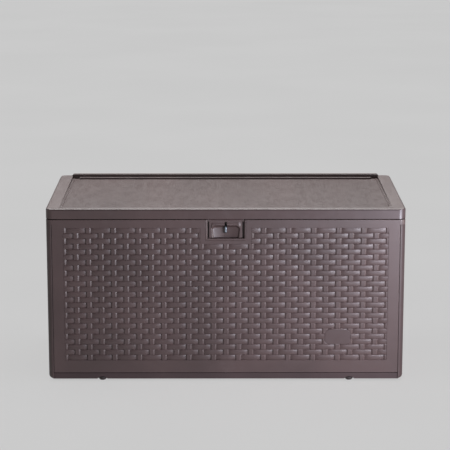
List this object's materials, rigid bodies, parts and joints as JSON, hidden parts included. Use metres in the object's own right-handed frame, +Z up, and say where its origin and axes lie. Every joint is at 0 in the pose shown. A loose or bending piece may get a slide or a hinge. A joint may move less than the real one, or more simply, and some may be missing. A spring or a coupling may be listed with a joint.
{
  "type": "deck storage box",
  "caption": "Outdoor storage box of screwed-together moulded panels with a basket-weave relief, a hinged lid with side bands and rear rail, and a hinged latch flap with padlock staple.",
  "frame": {"origin": "on the ground, at the middle of the overall outline in plan", "axes": "+X to the right along the box, +Y from the front to the back, +Z up; the latch is on the -Y side"},
  "size_m": [1.206, 0.59, 0.617],
  "materials": {
    "body_resin": "moulded polypropylene, mocha brown, low sheen, basket-weave relief",
    "lid_resin": "moulded polypropylene, mocha brown, fine grained deck",
    "inner_resin": "moulded polypropylene, mocha brown, plain",
    "latch_resin": "moulded polypropylene, mocha brown, smooth",
    "hinge_resin": "moulded glass-filled resin, mocha brown",
    "staple_steel": "zinc-plated sheet steel",
    "pin_steel": "drawn steel rod",
    "screw_zinc": "zinc-plated pan-head screws",
    "foot_resin": "moulded thermoplastic elastomer, mocha brown, dull",
    "black_rubber": "moulded rubber"
  },
  "bodies": {
    "box": {"base_tray": "body_resin", "front_panel": "body_resin", "back_panel": "body_resin", "left_side_panel": "body_resin", "right_side_panel": "body_resin", "latch_housing": "latch_resin", "lock_staple": "staple_steel", "blank_badge": "body_resin", "lid_bumpers": "black_rubber", "left_box_hinge_leaf": "hinge_resin", "middle_box_hinge_leaf": "hinge_resin", "right_box_hinge_leaf": "hinge_resin", "left_hinge_pin": "pin_steel", "middle_hinge_pin": "pin_steel", "right_hinge_pin": "pin_steel", "front_left_foot": "foot_resin", "front_right_foot": "foot_resin", "rear_left_foot": "foot_resin", "rear_right_foot": "foot_resin", "corner_screws": "screw_zinc", "base_screws": "screw_zinc", "box_hinge_screws": "screw_zinc", "staple_screws": "screw_zinc"},
    "lid": {"lid_shell": "lid_resin", "lid_liner": "inner_resin", "latch_bracket": "latch_resin", "latch_pin": "pin_steel", "left_lid_hinge_leaf": "hinge_resin", "middle_lid_hinge_leaf": "hinge_resin", "right_lid_hinge_leaf": "hinge_resin", "lid_hinge_screws": "screw_zinc", "latch_bracket_screws": "screw_zinc", "liner_screws": "screw_zinc"},
    "latch": {"latch_flap": "latch_resin"}
  },
  "joints": [
    {"name": "lid_hinge", "type": "hinge", "parent": "box", "child": "lid", "pos_m": [0, 0.2895, 0.561], "axis": [-1, 0, 0], "range_deg": [0, 100]},
    {"name": "latch_hinge", "type": "hinge", "parent": "lid", "child": "latch", "pos_m": [0, -0.2865, 0.5545], "axis": [-1, 0, 0], "range_deg": [0, 85]}
  ]
}
